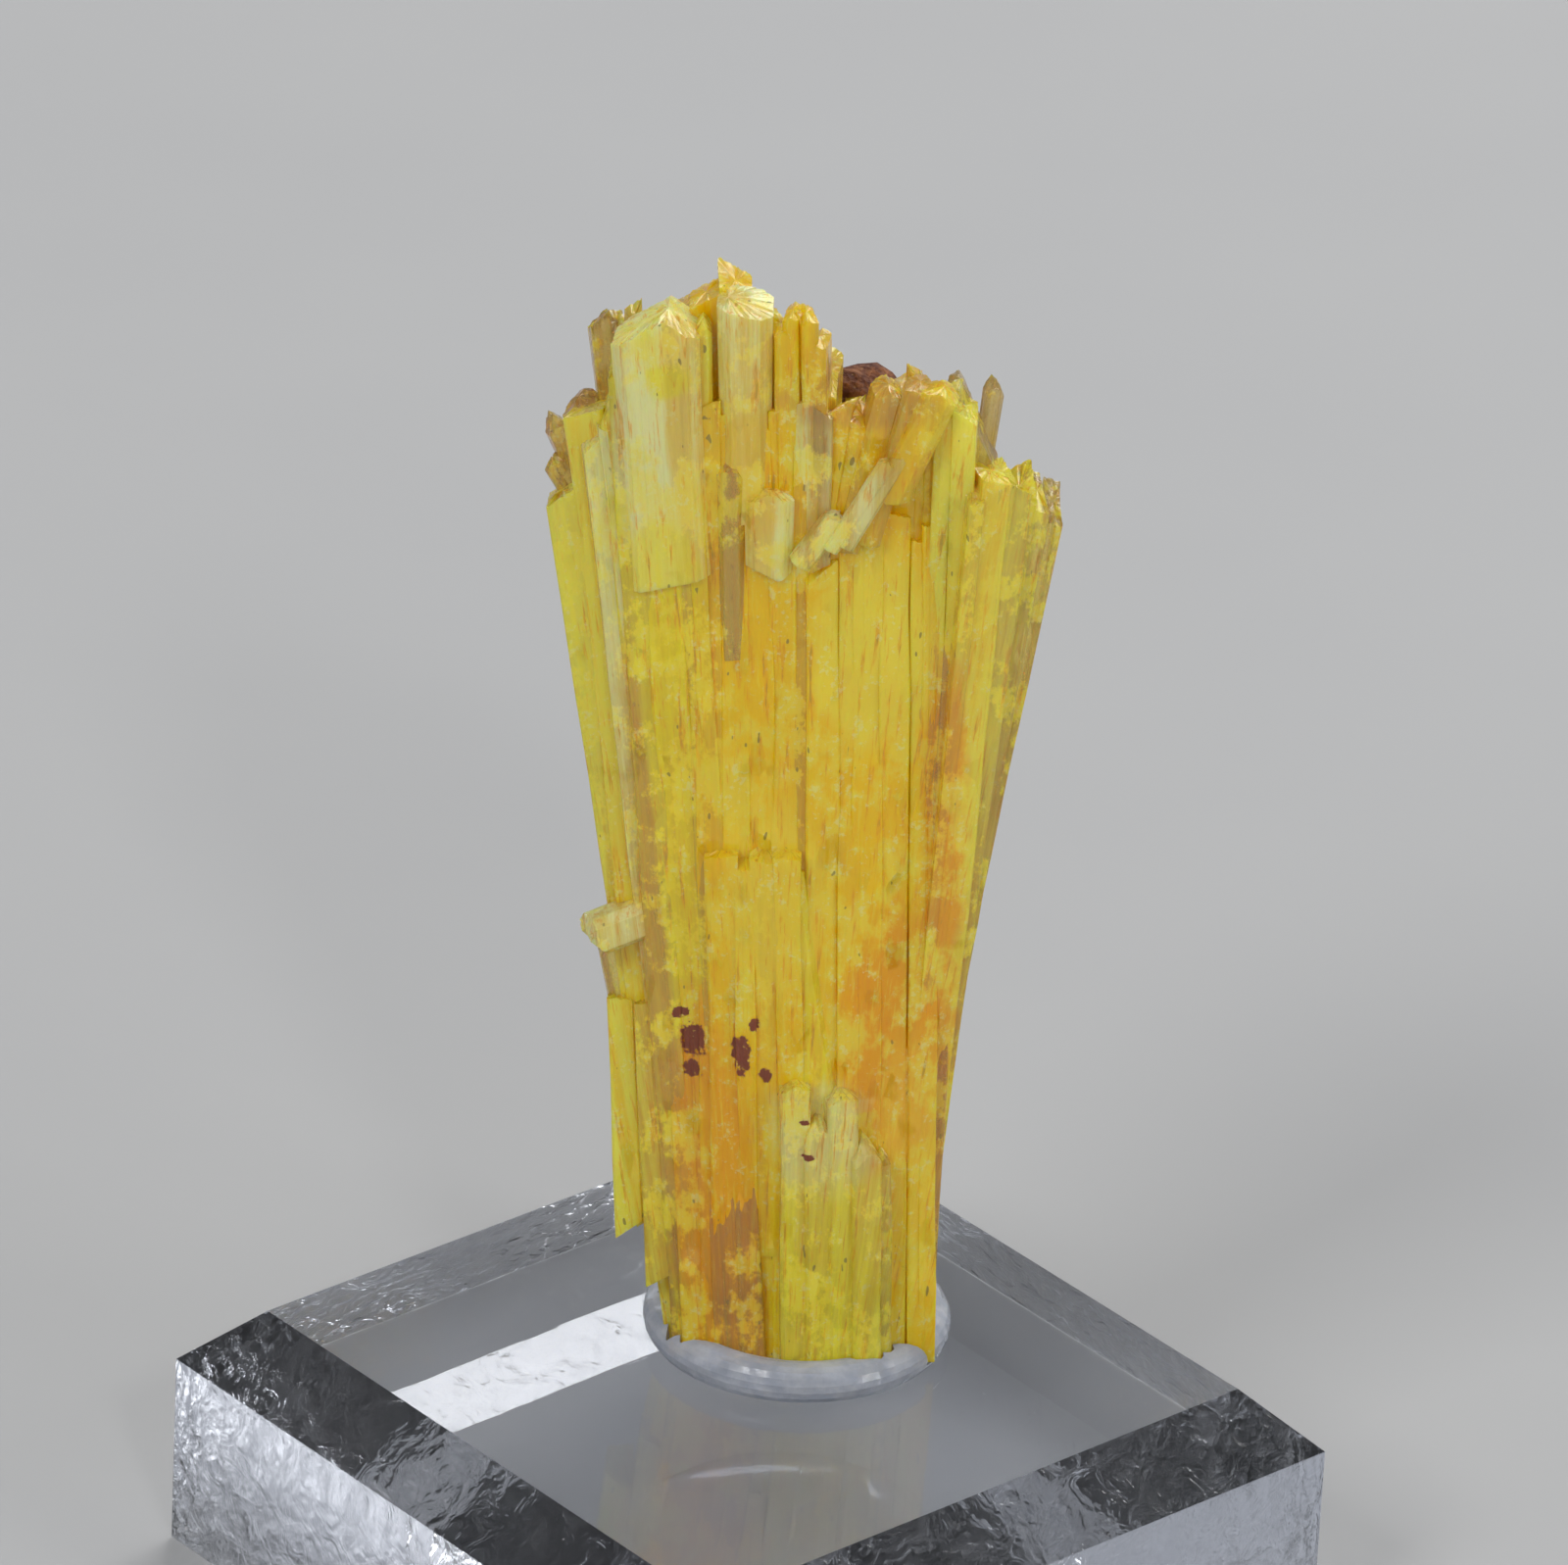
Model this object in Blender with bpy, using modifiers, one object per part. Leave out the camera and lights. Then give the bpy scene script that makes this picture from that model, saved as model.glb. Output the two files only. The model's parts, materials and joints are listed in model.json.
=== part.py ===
"""A fan of grown-together legrandite crystals, set in a ring of clear mounting wax on a small
square acrylic block. Metres, +Z up, origin at the centre of the block's underside."""
import math
import random
from dataclasses import dataclass, replace

import bmesh
import bpy
from mathutils import Matrix, Vector

MM = 0.001
SEED = 7

# The acrylic block
BASE_SIDE = 19.05 * MM
BASE_HEIGHT = 6.35 * MM
BASE_CHAMFER = 1.5 * MM

# The ring of mounting wax
WAX_RADIUS = 3.6 * MM
WAX_BEAD = 0.5 * MM
WAX_HEIGHT = 0.9 * MM
WAX_FILM = 0.35 * MM
WAX_SIDES = 48
# The arc of the bead's section in degrees: its start by the film, its end by the block, its step
WAX_ARC_START = 130
WAX_ARC_END = -61
WAX_ARC_STEP = -19
# How far inside the bead's middle the film stays flat, in bead radii
WAX_FILM_MARGIN = 2.2

# Where the specimen stands: its front faces the corner of the block, and it leans a little
SPECIMEN_PLACE = (1.44 * MM, 0.11 * MM)
SPECIMEN_TURN = math.radians(-41.4)
SPECIMEN_LEAN = math.radians(-2.8)
FOOT_LIFT = 0.3 * MM

# Clearance between pieces that touch
GAP = 0.05 * MM

# The fan, in millimetres in the specimen's frame (across, back, up). Every fan crystal's axis
# points at a root below the foot, and its place is named by how far across it is at FAN_LEVEL.
FAN_LEVEL = 21.6
FAN_ROOT_ACROSS = -0.8
FAN_ROOT_UP = -15.6
FAN_FOOT_DEPTH = 0.75

# The crest that the tips follow, left to right, in millimetres (across, up)
CREST = (
    (-5.3, 21.4), (-4.7, 23.4), (-4.2, 24.8), (-3.0, 26.3), (-1.4, 27.1), (-0.4, 26.6),
    (0.4, 25.6), (1.3, 24.5), (2.5, 24.3), (4.0, 24.1), (4.8, 22.4), (5.9, 21.0),
)
# How much lower a tip must end for each millimetre that it stands behind the axis
CREST_FALL = 0.55
# The hollow behind the crest that holds the crust: how far across it runs, and how deep it is
HOLLOW = (0.2, 3.0)
HOLLOW_BACK = 0.3
HOLLOW_DROP = 2.2

# The crust, in millimetres in the specimen's frame
CRUST_PLACE = (1.55, 1.2, 23.2)
CRUST_SIZE = (3.0, 2.3, 2.3)
CRUST_TILT = 30
CRUST_KNOBS = 14
# Its lumps as shares of its half size: the body, the height and sharpness of a knob, the grain
CRUST_BODY = 0.8
CRUST_KNOB_HEIGHT = 0.35
CRUST_KNOB_SHARPNESS = 6
CRUST_GRAIN = 0.03

# Stout crystals are bundles of parallel laths of about this width, which overlap their
# neighbours a little and differ in thickness and in length
LATH_WIDTH = 0.55
LATH_OVERLAP = 0.08
LATH_CHAMFER = 0.06
LATH_RELIEF = 0.09
LATH_RAGGED = 0.35

BLUNT = ((4, 0),)
WEDGE = ((24, 0), (-30, 0))
POINT = ((58, 0), (-52, 0), (0, 30))
ROOF = ((16, 8), (-20, 4))


@dataclass
class Crystal:
    """One prism. foot and tip are the ends of its axis and width and thick its section, in
    millimetres in the specimen's frame. turn is about the axis, and tops and roots hold the
    slopes of the faces that end it, as degrees across and back. peak is where they meet, as
    shares of half the section. chamfer is the share of the thinner side off each long edge,
    and laths is how many laths the prism is built of, or 0 for as many as its width takes."""

    foot: tuple
    tip: tuple
    width: float
    thick: float
    turn: float = 0.0
    tops: tuple = WEDGE
    roots: tuple = BLUNT
    peak: tuple = (0.0, 0.0)
    chamfer: float = 0.22
    laths: int = 0


def clear_scene():
    for item in list(bpy.data.objects):
        bpy.data.objects.remove(item, do_unlink=True)


def new_collection(name):
    collection = bpy.data.collections.new(name)
    bpy.context.scene.collection.children.link(collection)
    return collection


def new_material(name, color, roughness, metallic=0.0):
    material = bpy.data.materials.new(name)
    material.use_nodes = True
    shader = material.node_tree.nodes["Principled BSDF"]
    shader.inputs["Base Color"].default_value = (*color, 1.0)
    shader.inputs["Roughness"].default_value = roughness
    shader.inputs["Metallic"].default_value = metallic
    material.diffuse_color = (*color, 1.0)
    return material


def new_object(name, bm, collection, material=None):
    mesh = bpy.data.meshes.new(name)
    bm.to_mesh(mesh)
    bm.free()
    item = bpy.data.objects.new(name, mesh)
    if material:
        mesh.materials.append(material)
    collection.objects.link(item)
    return item


def as_guide(item):
    item.hide_render = True
    item.display_type = "WIRE"
    return item


def specimen_frame():
    """From the specimen's leaning frame to the world, with its origin on the block's top."""
    place = Matrix.Translation((*SPECIMEN_PLACE, BASE_HEIGHT))
    turn = Matrix.Rotation(SPECIMEN_TURN, 4, "Z")
    lean = Matrix.Rotation(SPECIMEN_LEAN, 4, "Y")
    return place @ turn @ lean


def cut_off(bm, point, normal):
    """Takes away what lies beyond a plane and closes the hole."""
    everything = bm.verts[:] + bm.edges[:] + bm.faces[:]
    cut = bmesh.ops.bisect_plane(
        bm, geom=everything, plane_co=point, plane_no=normal, clear_outer=True
    )
    rim = [part for part in cut["geom_cut"] if isinstance(part, bmesh.types.BMEdge)]
    bmesh.ops.holes_fill(bm, edges=rim, sides=0)


def sloped(across, back):
    """The upward direction tilted by degrees across and back."""
    tilt = Matrix.Rotation(math.radians(across), 3, "Y") @ Matrix.Rotation(math.radians(back), 3, "X")
    return tilt @ Vector((0, 0, 1))


def axis_frame(foot, tip, turn):
    """A frame at the foot with Z along the axis, its Y kept as near to straight back as it goes."""
    up = (tip - foot).normalized()
    across = Vector((0, 1, 0)).cross(up).normalized()
    back = up.cross(across)
    frame = Matrix((across, back, up)).transposed().to_4x4()
    return Matrix.Translation(foot) @ frame @ Matrix.Rotation(math.radians(turn), 4, "Z")


def crystal_prism(crystal, grow=0.0):
    """A chamfered prism with sloping faces at both ends. grow adds clearance all round."""
    foot = Vector(crystal.foot) * MM
    tip = Vector(crystal.tip) * MM
    length = (tip - foot).length
    width = crystal.width * MM + 2 * grow
    thick = crystal.thick * MM + 2 * grow
    spare = max(width, thick) * 2
    bm = bmesh.new()
    bmesh.ops.create_cube(bm, size=1)
    bmesh.ops.scale(bm, vec=(width, thick, length + 2 * spare), verts=bm.verts)
    bmesh.ops.translate(bm, vec=(0, 0, length / 2), verts=bm.verts)
    long_edges = [e for e in bm.edges if abs(e.verts[0].co.z - e.verts[1].co.z) > length / 2]
    chamfer = crystal.chamfer * min(width, thick)
    bmesh.ops.bevel(bm, geom=long_edges, offset=chamfer, segments=1, affect="EDGES")
    summit = Vector((crystal.peak[0] * width / 2, crystal.peak[1] * thick / 2, length + grow))
    for across, back in crystal.tops:
        cut_off(bm, summit, sloped(across, back))
    for across, back in crystal.roots:
        cut_off(bm, Vector((0, 0, -grow)), -sloped(across, back))
    bm.transform(axis_frame(foot, tip, crystal.turn))
    bm.normal_update()
    return bm


def end_height(tops, summit, place):
    """How high a prism that ends in these slopes reaches at a place in its section."""
    heights = []
    for across, back in tops:
        normal = sloped(across, back)
        fall = normal.x * (place.x - summit.x) + normal.y * (place.y - summit.y)
        heights.append(summit.z - fall / normal.z)
    return min(heights)


def bundle(crystal, chance):
    """The crystal as parallel laths, or as it is where it is slender."""
    laths = crystal.laths or round(crystal.width / LATH_WIDTH)
    if laths < 2:
        return [crystal]
    foot = Vector(crystal.foot)
    tip = Vector(crystal.tip)
    across = axis_frame(foot, tip, crystal.turn).to_3x3() @ Vector((1, 0, 0))
    up = (tip - foot).normalized()
    summit = Vector((crystal.peak[0] * crystal.width / 2, 0, (tip - foot).length))
    shares = [chance.uniform(0.4, 1.6) for _ in range(laths)]
    step = crystal.width / sum(shares)
    left = -crystal.width / 2
    result = []
    for share in shares:
        width = step * share
        offset = left + width / 2
        left += width
        high = end_height(crystal.tops, summit, Vector((offset, 0, 0))) - chance.uniform(0, LATH_RAGGED)
        slopes = [slope[0] for slope in crystal.tops]
        leaning = min(slopes) if offset < summit.x else max(slopes)
        low = chance.uniform(0, LATH_RAGGED) if crystal.foot[2] > 0 else 0.0
        result.append(replace(
            crystal,
            foot=tuple(foot + across * offset + up * low),
            tip=tuple(foot + across * offset + up * high),
            width=width + LATH_OVERLAP,
            thick=crystal.thick + chance.uniform(-LATH_RELIEF, LATH_RELIEF),
            turn=crystal.turn + chance.uniform(-3, 3),
            tops=((leaning + chance.uniform(-10, 10), chance.uniform(-22, 22)),),
            peak=(0.0, 0.0),
            chamfer=LATH_CHAMFER,
        ))
    return result


def crest_height(across, back):
    """How high a tip may reach at a place in the cluster."""
    points = [(-99.0, CREST[0][1]), *CREST, (99.0, CREST[-1][1])]
    for (left, low), (right, high) in zip(points, points[1:]):
        if across <= right:
            share = (across - left) / (right - left)
            return low + share * (high - low) - CREST_FALL * back
    return CREST[-1][1]


def fan_point(reach, back, up):
    """The point at a height on the fan line that passes reach at FAN_LEVEL."""
    spread = (up - FAN_ROOT_UP) / (FAN_LEVEL - FAN_ROOT_UP)
    depth = FAN_FOOT_DEPTH + (1 - FAN_FOOT_DEPTH) * up / FAN_LEVEL
    return (FAN_ROOT_ACROSS + (reach - FAN_ROOT_ACROSS) * spread, back * depth, up)


def fan_layer(chance, back, left, right, count, thick, drop, bottom=0.0):
    """Evenly spread fan crystals at one depth, their tips following the crest unevenly."""
    step = (right - left) / count
    layer = []
    for place in range(count):
        reach = left + step * (place + chance.uniform(0.35, 0.65))
        depth = back + chance.uniform(-0.25, 0.25)
        top = crest_height(reach, depth) - chance.uniform(0.1, drop)
        if HOLLOW[0] < reach < HOLLOW[1] and depth > HOLLOW_BACK:
            top -= HOLLOW_DROP
        layer.append(Crystal(
            foot=fan_point(reach, depth, bottom),
            tip=fan_point(reach, depth, top),
            width=step * chance.uniform(1.05, 1.4),
            thick=thick * chance.uniform(0.8, 1.2),
            turn=chance.uniform(-18, 18),
            tops=((chance.uniform(10, 45), chance.uniform(-15, 15)),
                  (-chance.uniform(10, 45), chance.uniform(-15, 15))),
            peak=(chance.uniform(-0.4, 0.4), 0.0),
        ))
    return layer


def body_crystals():
    """The stout prisms that carry the rest, from the foot to the crest."""
    right = Crystal((1.5, -0.75, 0), (1.65, -0.95, 22.4), 2.9, 2.6, turn=11, tops=((18, 0), (-30, 10)))
    centre = Crystal((-0.8, -1.0, 0), (-0.8, -1.15, 25.3), 2.4, 2.3, turn=-2, tops=ROOF)
    left = Crystal((-1.7, -0.8, 0), (-2.95, -1.15, 26.4), 1.95, 2.3, turn=-7, tops=ROOF)
    heart = Crystal((0.3, 0.2, 0), (0.1, 0.2, 23.6), 3.8, 2.9, turn=-6, tops=WEDGE, laths=2)
    amber = Crystal((2.6, -0.7, 2), (3.5, -1.2, 19.5), 1.0, 1.5, turn=6, tops=((20, 0), (-8, 0)))
    return [right, centre, left, heart, amber]


def left_fan():
    """Long thin prisms down the left edge, the lowest of them broken off above the foot."""
    edge = Crystal((-2.45, -0.5, 1.6), (-5.0, -0.8, 22.6), 0.95, 1.6, tops=((-20, 0), (52, 0)),
                   peak=(-0.3, 0))
    whitish = Crystal((-2.3, -0.8, 1.0), (-4.3, -1.25, 24.5), 0.85, 1.6, turn=8, tops=WEDGE)
    inner = Crystal((-2.1, -1.0, 0.6), (-3.8, -1.45, 25.6), 0.8, 1.3, turn=-6, tops=POINT)
    lath = Crystal((-2.5, -1.4, 2.6), (-3.3, -1.65, 20.9), 0.95, 0.8, turn=5, tops=((12, 0), (-40, 0)))
    broken = Crystal((-3.6, -1.0, 3.3), (-3.75, -1.05, 9.8), 0.95, 1.2, tops=BLUNT,
                     roots=((35, 20), (-10, 0)))
    broken_inner = Crystal((-2.95, -1.25, 2.2), (-3.15, -1.3, 9.7), 0.85, 1.1, tops=BLUNT,
                           roots=((28, 0),))
    ragged = Crystal((-3.8, -0.8, 3.9), (-3.7, -0.8, 6.2), 0.7, 0.9, turn=15, tops=POINT,
                     roots=((-40, 0),))
    cap = Crystal((-3.85, -0.9, 9.0), (-4.2, -0.9, 11.0), 0.65, 0.8, turn=12, tops=POINT)
    knob = Crystal((-3.8, -1.0, 7.0), (-4.15, -1.05, 7.2), 0.35, 0.35, turn=20, tops=WEDGE)
    return [edge, whitish, inner, lath, broken, broken_inner, ragged, cap, knob]


def right_fan():
    """Striated prisms that splay out to the right."""
    tips = ((4.4, -1.75, 23.4), (4.9, -1.55, 23.35), (5.35, -1.2, 23.0), (5.7, -0.8, 22.3))
    feet = ((2.6, -0.8, 3.0), (2.4, -0.6, 2.0), (2.0, -0.4, 0.8), (1.6, -0.2, 0.4))
    leans = (((14, 0), (-20, 0)), ((30, 0), (-14, 0)), ((20, 0), (-26, 0)), ((16, 0), (-48, 0)))
    return [
        Crystal(foot, tip, 0.85, 1.4, turn=14 - 2 * place, tops=leans[place])
        for place, (foot, tip) in enumerate(zip(feet, tips))
    ]


def top_crystals():
    """The stout and the slender tips of the crest, seen from the front."""
    blade = Crystal((-2.65, -1.75, 20.7), (-2.95, -2.0, 27.5), 1.95, 1.3, turn=-6,
                    tops=((-30, 0), (38, 0)), roots=((13, 0),), peak=(0.3, 0), laths=1)
    slab = Crystal((-1.5, -0.9, 18), (-1.65, -1.0, 27.8), 1.6, 1.3, tops=((-26, 0), (50, 0)),
                   peak=(0.55, 0))
    slab_left = Crystal((-2.6, -0.8, 18), (-2.85, -0.9, 27.2), 1.7, 1.2, tops=((-25, 0), (50, 0)),
                        peak=(0.7, 0))
    block = Crystal((-0.95, -1.5, 21), (-0.95, -1.7, 27.7), 1.25, 1.3, tops=((-12, 0), (12, 6)),
                    peak=(-0.6, 0), laths=1)
    sliver = Crystal((-1.85, -1.9, 24.2), (-1.88, -2.0, 27.3), 0.36, 0.6, tops=POINT)
    needles = [
        Crystal((across - 0.02, -1.45, 21.5), (across, -1.65, up), 0.4, 0.9, turn=turn, tops=WEDGE)
        for across, up, turn in ((-0.15, 27.1, 10), (0.13, 27.45, -8), (0.42, 27.4, 12), (0.72, 26.8, -10))
    ]
    glint = Crystal((0.5, -1.75, 17.5), (0.6, -1.95, 25.4), 0.75, 0.9, turn=-5, tops=WEDGE)
    dagger = Crystal((-1.28, -1.95, 18.8), (-1.29, -2.1, 23.9), 0.6, 0.75, tops=POINT)
    nub = Crystal((-0.45, -2.05, 20.8), (-0.43, -2.15, 23.2), 1.1, 1.0, tops=WEDGE,
                  roots=((30, 0), (-30, 25)), laths=1)
    shoulder = Crystal((2.6, -1.0, 17), (2.9, -1.15, 25.5), 1.3, 1.7, turn=8, tops=WEDGE)
    post = Crystal((3.45, -1.0, 15), (3.8, -1.55, 25.2), 0.8, 1.5, turn=-4, tops=WEDGE)
    window = Crystal((3.5, -0.8, 18), (4.35, -1.0, 25.2), 1.5, 1.0, tops=((-20, 0), (62, 0)),
                     peak=(-0.7, 0), laths=1)
    return [blade, slab, slab_left, block, sliver, *needles, glint, dagger, nub, shoulder, post, window]


def rear_tips():
    """Small clear tips that show past the crest from behind."""
    lidded = Crystal((-3.5, 0.2, 20), (-4.15, 0.3, 26.2), 0.75, 0.9, turn=10,
                     tops=((-30, 0), (12, 0)), peak=(-0.3, 0))
    notch = Crystal((-3.9, -0.3, 20), (-4.75, -0.4, 24.5), 0.7, 0.9, turn=-12, tops=((-38, 0), (20, 0)))
    fang = Crystal((-4.2, -0.2, 21.2), (-5.35, -0.3, 24.0), 0.6, 0.7, turn=20, tops=POINT)
    fang_low = Crystal((-4.2, -0.4, 20.8), (-5.35, -0.5, 23.0), 0.55, 0.6, turn=-15, tops=WEDGE)
    spike = Crystal((4.1, -0.3, 21), (4.65, -0.4, 25.0), 0.6, 0.7, turn=15, tops=POINT)
    return [lidded, notch, fang, fang_low, spike]


def front_layers():
    """Later growth that lies on the front of the body and ends in ledges."""
    plate = Crystal((-0.75, -1.7, 3), (-0.85, -2.15, 14.1), 2.1, 1.0, turn=-3, tops=((10, 0), (-6, 0)))
    plate_edge = Crystal((0.75, -1.8, 5.5), (-0.25, -2.1, 13.6), 1.1, 0.95, turn=4, tops=WEDGE, laths=1)
    lower_left = Crystal((-1.55, -1.65, 0), (-1.9, -1.45, 10.2), 1.85, 1.2, turn=-8, tops=ROOF)
    tops = (8.1, 7.2, 7.8, 6.6)
    jagged = [
        Crystal((0.02 + 0.52 * place, -2.1, 0), (0.04 + 0.52 * place, -2.25, top), 0.7, 1.1,
                turn=6 + 3 * place, tops=POINT if place % 2 else WEDGE, chamfer=0.12)
        for place, top in enumerate(tops)
    ]
    sliver = Crystal((2.0, -1.85, 0), (2.02, -2.1, 6.1), 0.4, 0.9, turn=12, tops=POINT)
    rib = Crystal((2.65, -1.3, 0), (2.65, -1.5, 8.9), 0.5, 0.9, turn=14, tops=POINT)
    return [plate, plate_edge, lower_left, *jagged, sliver, rib]


def splinters():
    """Crystals that lie aslant over the upper right of the front."""
    ends = (
        ((0.25, -2.55, 21.4), (1.15, -2.45, 22.6), 0.5),
        ((0.95, -2.6, 21.8), (2.3, -2.45, 24.0), 0.42),
        ((1.25, -2.55, 21.9), (2.55, -2.4, 24.1), 0.36),
        ((0.9, -1.8, 21.0), (1.5, -1.8, 25.2), 0.85),
        ((1.3, -1.95, 21.6), (2.25, -1.95, 25.6), 0.7),
        ((1.8, -2.05, 21.8), (2.95, -2.0, 25.7), 0.6),
    )
    laths = [
        Crystal(foot, tip, width, 0.55 if width < 0.55 else 1.0, turn=9 * (-1) ** place, tops=WEDGE)
        for place, (foot, tip, width) in enumerate(ends)
    ]
    golden = Crystal((2.25, -2.25, 22.9), (3.5, -2.25, 25.7), 0.9, 0.9, turn=-10, tops=WEDGE,
                     roots=((30, 0), (-30, 0)), laths=1)
    return [*laths, golden]


def side_stub():
    """The short crystal that lies across the left edge."""
    return [Crystal((-2.4, -1.2, 12.1), (-4.65, -1.95, 11.5), 1.0, 0.95,
                    tops=((14, 10), (-28, 0)), laths=1)]


def legrandite():
    """Every crystal of the cluster."""
    chance = random.Random(SEED)
    placed = (body_crystals() + left_fan() + right_fan() + top_crystals() + rear_tips()
              + front_layers() + splinters() + side_stub())
    fillers = (
        fan_layer(chance, back=-0.6, left=-4.5, right=5.1, count=7, thick=1.8, drop=1.2)
        + fan_layer(chance, back=0.9, left=-4.8, right=5.3, count=8, thick=1.9, drop=1.4)
        + fan_layer(chance, back=2.1, left=-3.9, right=4.2, count=6, thick=1.5, drop=2.6)
    )
    return [lath for crystal in placed + fillers for lath in bundle(crystal, chance)]


def fused(name, crystals, collection, guides, grow=0.0, material=None):
    """The union of the crystals, cut off flat a little above the block."""
    frame = specimen_frame()
    members = new_collection(name + "_crystals")
    for place, crystal in enumerate(crystals[1:]):
        member = new_object(f"{name}_{place:02d}", crystal_prism(crystal, grow), members)
        member.matrix_world = frame
        as_guide(member)
    whole = new_object(name, crystal_prism(crystals[0], grow), collection, material)
    whole.matrix_world = frame
    union = whole.modifiers.new("Grown together", "BOOLEAN")
    union.operation = "UNION"
    union.operand_type = "COLLECTION"
    union.collection = members
    below = new_object(name + "_below", flat_box(BASE_SIDE, BASE_HEIGHT), guides)
    below.location = (0, 0, BASE_HEIGHT + FOOT_LIFT - grow)
    cut = whole.modifiers.new("Flat foot", "BOOLEAN")
    cut.operation = "DIFFERENCE"
    cut.object = as_guide(below)
    return whole


def flat_box(side, height):
    """A square box whose top is at its origin."""
    bm = bmesh.new()
    bmesh.ops.create_cube(bm, size=1)
    bmesh.ops.scale(bm, vec=(side, side, height), verts=bm.verts)
    bmesh.ops.translate(bm, vec=(0, 0, -height / 2), verts=bm.verts)
    return bm


def acrylic_base(collection):
    bm = flat_box(BASE_SIDE, BASE_HEIGHT)
    top_edges = [e for e in bm.edges if all(abs(v.co.z) < BASE_HEIGHT / 4 for v in e.verts)]
    bmesh.ops.bevel(bm, geom=top_edges, offset=BASE_CHAMFER, segments=1, affect="EDGES")
    clear = new_material("clear_acrylic", (0.86, 0.88, 0.95), 0.05)
    base = new_object("acrylic_base", bm, collection, clear)
    base.location = (0, 0, BASE_HEIGHT)
    return base


def wax_profile():
    """Half of the ring's section from the film at its middle to its foot, turned about Z."""
    crest_radius = WAX_RADIUS - WAX_BEAD
    bead_middle = WAX_HEIGHT - WAX_BEAD
    points = [(0.0, WAX_FILM), (crest_radius - WAX_FILM_MARGIN * WAX_BEAD, WAX_FILM)]
    for angle in range(WAX_ARC_START, WAX_ARC_END, WAX_ARC_STEP):
        slant = math.radians(angle)
        radius = crest_radius + WAX_BEAD * math.cos(slant)
        points.append((radius, bead_middle + WAX_BEAD * math.sin(slant)))
    points = [(radius, max(up, GAP)) for radius, up in points]
    return points + [(0.0, GAP)]


def wax_ring(collection, clearance):
    """A turned bead with a socket where the crystals stand in it."""
    bm = bmesh.new()
    rim = [bm.verts.new((radius, 0, up)) for radius, up in reversed(wax_profile())]
    for start, end in zip(rim, rim[1:]):
        bm.edges.new((start, end))
    grey = new_material("mounting_wax", (0.6, 0.64, 0.72), 0.15)
    wax = new_object("mounting_wax", bm, collection, grey)
    wax.location = (*SPECIMEN_PLACE, BASE_HEIGHT)
    turned = wax.modifiers.new("Turned bead", "SCREW")
    turned.steps = WAX_SIDES
    turned.render_steps = WAX_SIDES
    turned.use_merge_vertices = True
    turned.merge_threshold = 0.00001
    turned.use_normal_calculate = True
    socket = wax.modifiers.new("Socket", "BOOLEAN")
    socket.operation = "DIFFERENCE"
    socket.object = clearance
    return wax


def limonite_crust(collection, clearance):
    """A lumpy crust of iron oxide in the hollow, shaped to the crystals that it lies on."""
    chance = random.Random(SEED + 1)
    bm = bmesh.new()
    bmesh.ops.create_icosphere(bm, subdivisions=3, radius=1.0)
    knobs = [Vector([chance.uniform(-1, 1) for _ in range(3)]).normalized() for _ in range(CRUST_KNOBS)]
    for vert in bm.verts:
        swell = max(vert.co.dot(knob) for knob in knobs) ** CRUST_KNOB_SHARPNESS
        grain = chance.uniform(-CRUST_GRAIN, CRUST_GRAIN)
        vert.co *= CRUST_BODY + CRUST_KNOB_HEIGHT * swell + grain
    half = [size * MM / 2 for size in CRUST_SIZE]
    bmesh.ops.scale(bm, vec=half, verts=bm.verts)
    bmesh.ops.rotate(bm, matrix=Matrix.Rotation(math.radians(CRUST_TILT), 3, "Y"), verts=bm.verts)
    bmesh.ops.translate(bm, vec=Vector(CRUST_PLACE) * MM, verts=bm.verts)
    limonite = new_material("limonite", (0.25, 0.09, 0.05), 0.9)
    crust = new_object("limonite_crust", bm, collection, limonite)
    crust.matrix_world = specimen_frame()
    bed = crust.modifiers.new("Bed", "BOOLEAN")
    bed.operation = "DIFFERENCE"
    bed.object = clearance
    return crust


def build():
    clear_scene()
    parts = new_collection("legrandite_cluster")
    guides = new_collection("cutters")
    crystals = legrandite()
    yellow = new_material("legrandite", (0.86, 0.68, 0.08), 0.25)
    fused("legrandite_crystals", crystals, parts, guides, material=yellow)
    clearance = as_guide(fused("clearance", crystals, guides, guides, grow=GAP))
    acrylic_base(parts)
    wax_ring(parts, clearance)
    limonite_crust(parts, clearance)


build()
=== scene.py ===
"""The looks of a legrandite cluster on its acrylic block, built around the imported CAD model.
Laid out as an add-on and run as a script. Metres, +Z up, origin at the centre of the block's
underside. Places on the specimen are in millimetres in its own leaning frame: across, back, up."""
import json
import math
import random
from dataclasses import dataclass, replace

import bmesh
import bpy
from mathutils import Matrix, Vector, noise

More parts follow.
